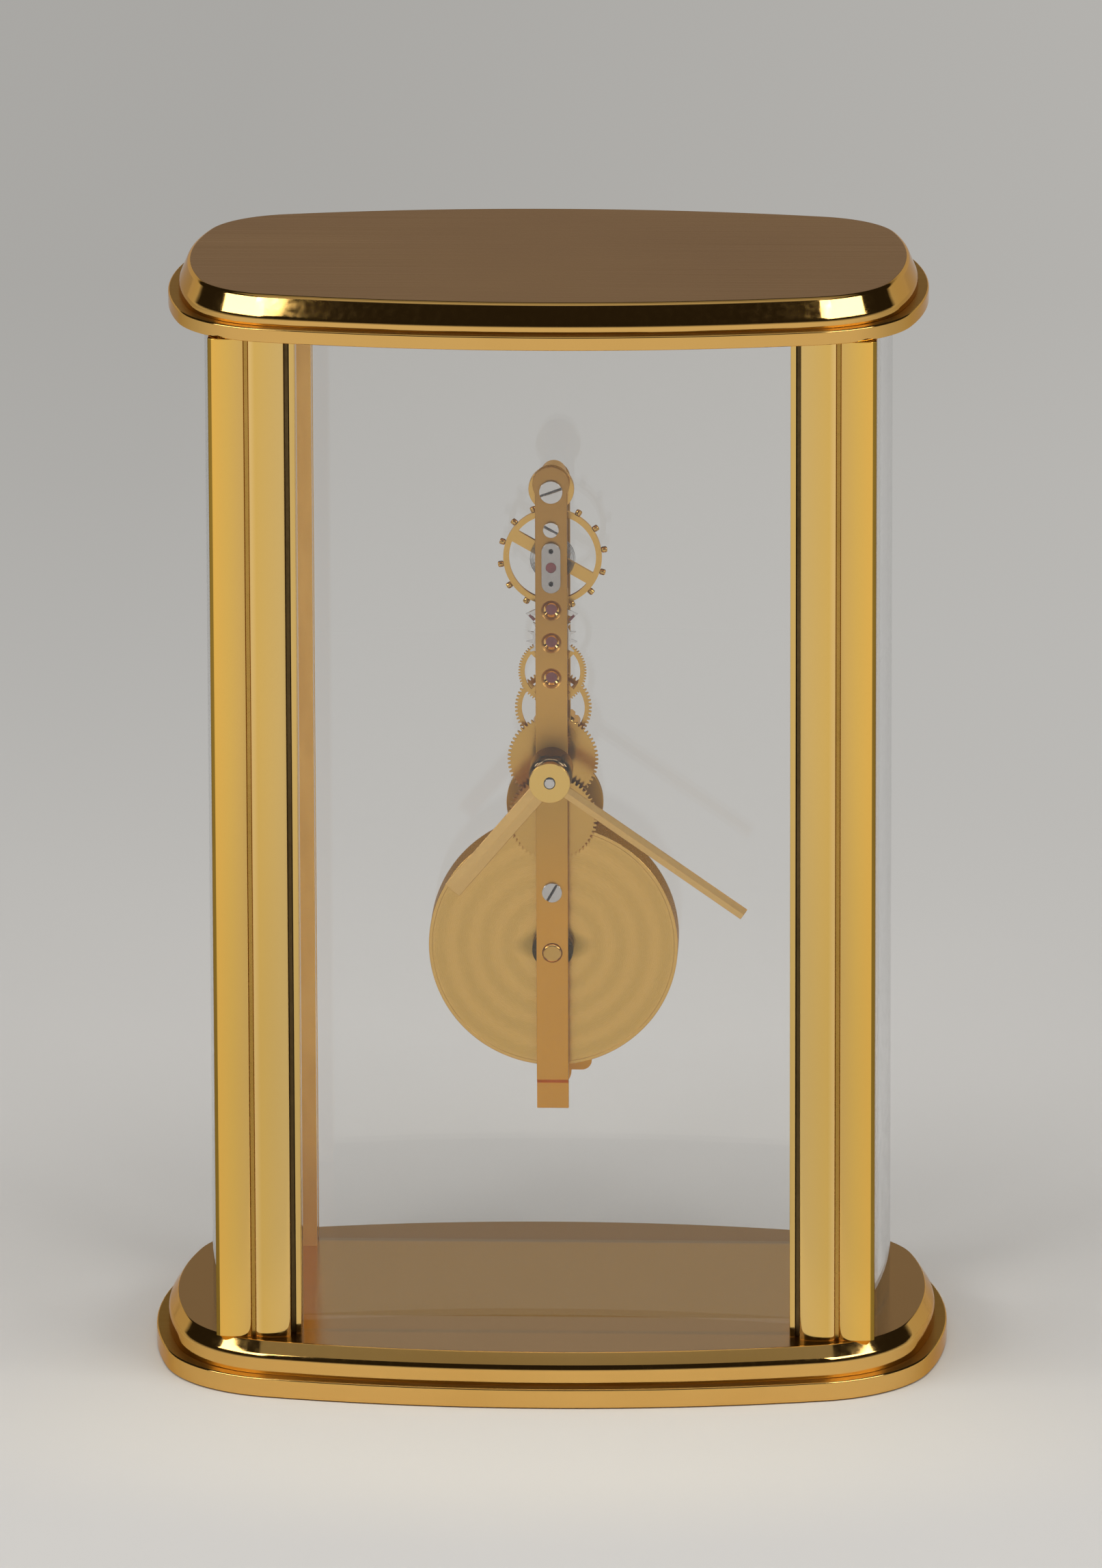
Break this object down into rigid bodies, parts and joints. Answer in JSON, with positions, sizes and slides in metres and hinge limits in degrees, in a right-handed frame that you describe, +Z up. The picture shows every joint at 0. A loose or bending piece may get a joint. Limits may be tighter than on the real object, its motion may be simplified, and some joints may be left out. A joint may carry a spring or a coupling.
{
  "type": "mystery clock",
  "caption": "Gilt mystery mantel clock: glazed case of stepped plates on reeded pillars, with an in-line skeleton movement, baton hands and knobs at the back.",
  "frame": {"origin": "centre of the footprint, on the surface that the clock stands on", "axes": "+Z up, -Y to the front, +X to the right seen from the front"},
  "size_m": [0.15, 0.096, 0.21],
  "materials": {
    "gilt": "polished and brushed gilt",
    "movement_brass": "satin gilt",
    "glass": "clear polished",
    "steel": "polished",
    "blued_steel": "dark blued",
    "ruby": "polished synthetic ruby",
    "felt": "dark felt"
  },
  "bodies": {
    "case": {"balance_end_plate": "steel", "bar_posts": "movement_brass", "bar_screws": "steel", "base_felt": "felt", "base_platform": "gilt", "base_plinth": "gilt", "centre_collar": "movement_brass", "click_screw": "steel", "end_plate_screws": "blued_steel", "front_bar": "movement_brass", "front_glass": "glass", "front_jewels": "ruby", "hairspring": "blued_steel", "hairspring_stud": "steel", "mount_screws": "steel", "mount_spacers": "movement_brass", "pallet_cock": "movement_brass", "pillar_front_left": "gilt", "pillar_front_right": "gilt", "pillar_rear_left": "gilt", "pillar_rear_right": "gilt", "rear_bar": "movement_brass", "rear_glass": "glass", "rear_jewels": "ruby", "side_glass_left": "glass", "side_glass_right": "glass", "tie_rods": "steel", "top_cap": "gilt", "top_rim": "gilt"},
    "minute": {"centre_arbor": "steel", "cannon_pinion": "steel", "minute_hand": "movement_brass", "hand_hub": "movement_brass", "setting_knob": "gilt"},
    "hour": {"hour_wheel": "movement_brass", "hour_hand": "movement_brass"},
    "motion": {"minute_wheel": "movement_brass"},
    "centre": {"centre_pinion": "steel", "centre_wheel": "movement_brass"},
    "intermediate": {"intermediate_arbor": "steel", "intermediate_wheel": "movement_brass"},
    "barrel": {"barrel_drum": "movement_brass", "barrel_cover": "movement_brass", "mainspring": "steel"},
    "third": {"third_arbor": "steel", "third_wheel": "movement_brass"},
    "fourth": {"fourth_arbor": "steel", "fourth_wheel": "movement_brass"},
    "escape": {"escape_arbor": "steel", "escape_wheel": "steel"},
    "pallet": {"pallet_fork": "steel", "pallet_stones": "ruby", "pallet_arbor": "steel"},
    "balance": {"balance_wheel": "movement_brass", "balance_screws": "movement_brass", "balance_staff": "steel"},
    "winding": {"barrel_arbor": "movement_brass", "ratchet_wheel": "steel", "winding_knob": "gilt"},
    "click": {"click": "steel"}
  },
  "joints": [
    {"name": "minute_turn", "type": "hinge", "parent": "case", "child": "minute", "pos_m": [0, 0, 0.109], "axis": [0, 1, 0], "continuous": true},
    {"name": "hour_turn", "type": "hinge", "parent": "case", "child": "hour", "pos_m": [0, 0, 0.109], "axis": [0, 1, 0], "continuous": true},
    {"name": "motion_turn", "type": "hinge", "parent": "case", "child": "motion", "pos_m": [0, 0, 0.1134], "axis": [0, 1, 0], "continuous": true},
    {"name": "centre_turn", "type": "hinge", "parent": "case", "child": "centre", "pos_m": [0, 0, 0.109], "axis": [0, 1, 0], "continuous": true},
    {"name": "fourth_turn", "type": "hinge", "parent": "case", "child": "fourth", "pos_m": [0, 0, 0.1264], "axis": [0, 1, 0], "continuous": true},
    {"name": "third_turn", "type": "hinge", "parent": "case", "child": "third", "pos_m": [0, 0, 0.1184], "axis": [0, 1, 0], "continuous": true},
    {"name": "intermediate_turn", "type": "hinge", "parent": "case", "child": "intermediate", "pos_m": [0, 0, 0.098], "axis": [0, 1, 0], "continuous": true},
    {"name": "barrel_turn", "type": "hinge", "parent": "case", "child": "barrel", "pos_m": [0, 0, 0.0728], "axis": [0, 1, 0], "continuous": true},
    {"name": "escape_turn", "type": "hinge", "parent": "case", "child": "escape", "pos_m": [0, 0, 0.1333], "axis": [0, 1, 0], "continuous": true},
    {"name": "pallet_rock", "type": "hinge", "parent": "case", "child": "pallet", "pos_m": [0, 0, 0.1396], "axis": [0, 1, 0], "range_deg": [-4, 4]},
    {"name": "balance_swing", "type": "hinge", "parent": "case", "child": "balance", "pos_m": [0, 0, 0.1481], "axis": [0, 1, 0], "range_deg": [-270, 270], "stiffness_Nm_per_rad": 0.000015},
    {"name": "winding_turn", "type": "hinge", "parent": "case", "child": "winding", "pos_m": [0, 0, 0.0728], "axis": [0, -1, 0], "range_deg": [0, 2520]},
    {"name": "click_lift", "type": "hinge", "parent": "case", "child": "click", "pos_m": [0, 0, 0.0835], "axis": [0, 1, 0], "range_deg": [0, 8]}
  ],
  "couplings": [
    {"joint": "hour_turn", "follows": "minute_turn", "ratio": 0.083333},
    {"joint": "motion_turn", "follows": "minute_turn", "ratio": -0.33333},
    {"joint": "third_turn", "follows": "centre_turn", "ratio": -8},
    {"joint": "fourth_turn", "follows": "centre_turn", "ratio": 60},
    {"joint": "intermediate_turn", "follows": "centre_turn", "ratio": -0.34483},
    {"joint": "barrel_turn", "follows": "centre_turn", "ratio": 0.034483},
    {"joint": "escape_turn", "follows": "centre_turn", "ratio": -600}
  ]
}
